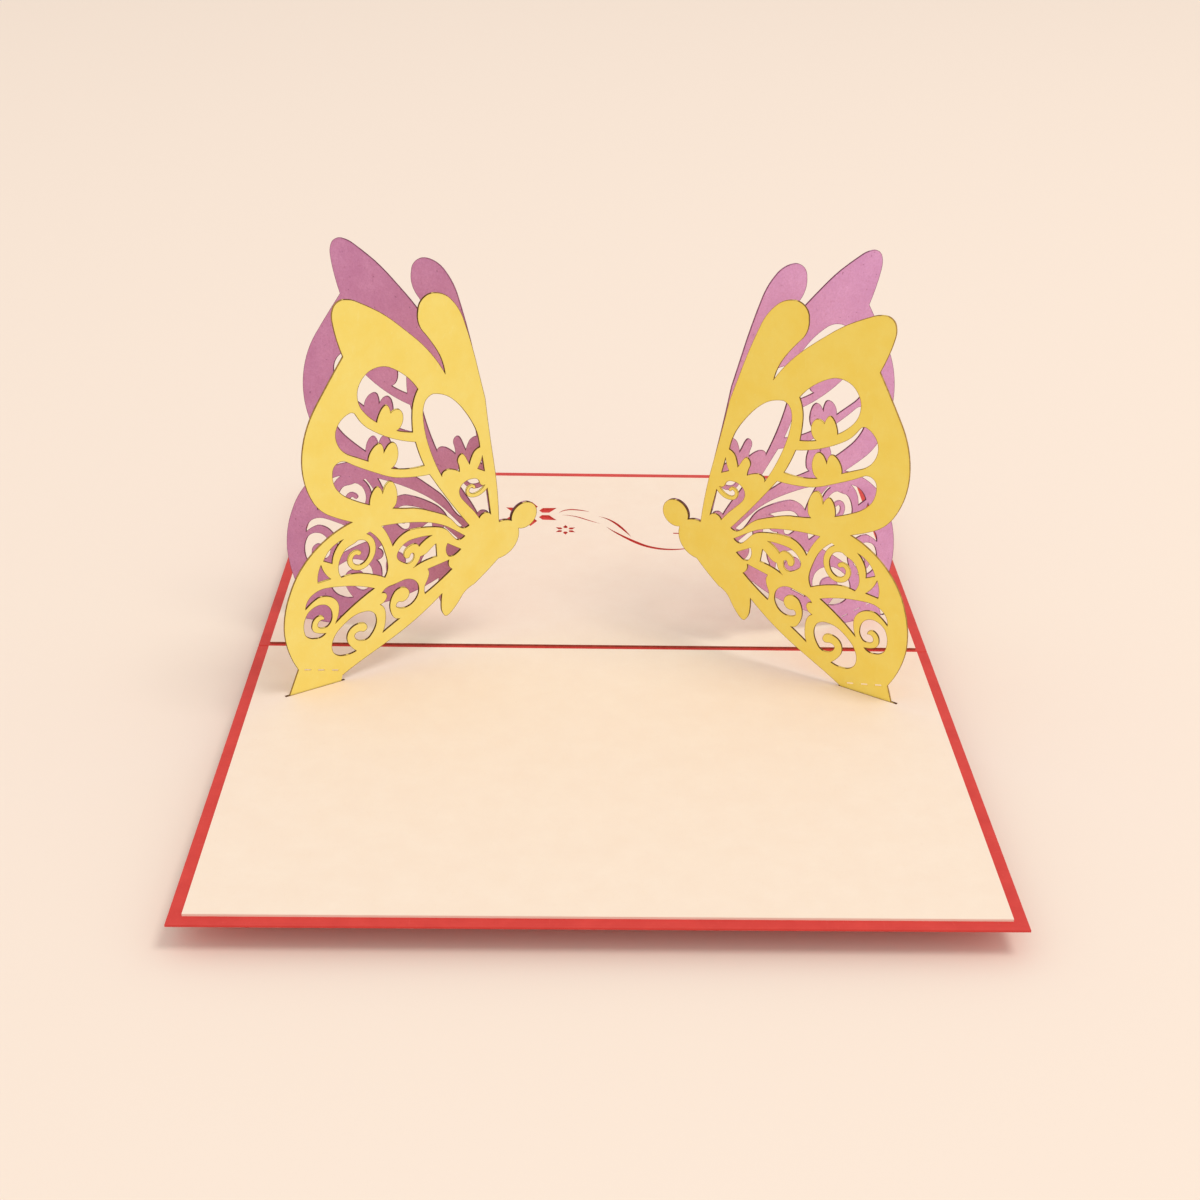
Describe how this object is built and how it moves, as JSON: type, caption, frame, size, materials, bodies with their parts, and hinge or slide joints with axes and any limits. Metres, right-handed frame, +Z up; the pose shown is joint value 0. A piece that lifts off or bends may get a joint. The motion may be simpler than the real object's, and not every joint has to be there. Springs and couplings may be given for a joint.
{
  "type": "pop-up greeting card",
  "caption": "Opened pop-up greeting card: folded cover with glued liner panels and standing, laser-cut butterfly wing sheets.",
  "frame": {"origin": "middle of the fold line on the underside of the cover, which lies flat on the table", "axes": "+X along the fold, +Y from the near half (in front of the yellow wings) toward the far half, +Z up out of the opened card"},
  "size_m": [0.15, 0.2, 0.0892],
  "materials": {
    "red_card": "matte",
    "cream_paper": "matte",
    "yellow_card": "matte",
    "purple_card": "matte with fine fibres"
  },
  "bodies": {
    "root": {"cover_card": "red_card", "near_liner": "cream_paper", "far_liner": "cream_paper", "yellow_wing_left": "yellow_card", "yellow_wing_right": "yellow_card", "purple_wing_left": "purple_card", "purple_wing_right": "purple_card"}
  },
  "joints": []
}
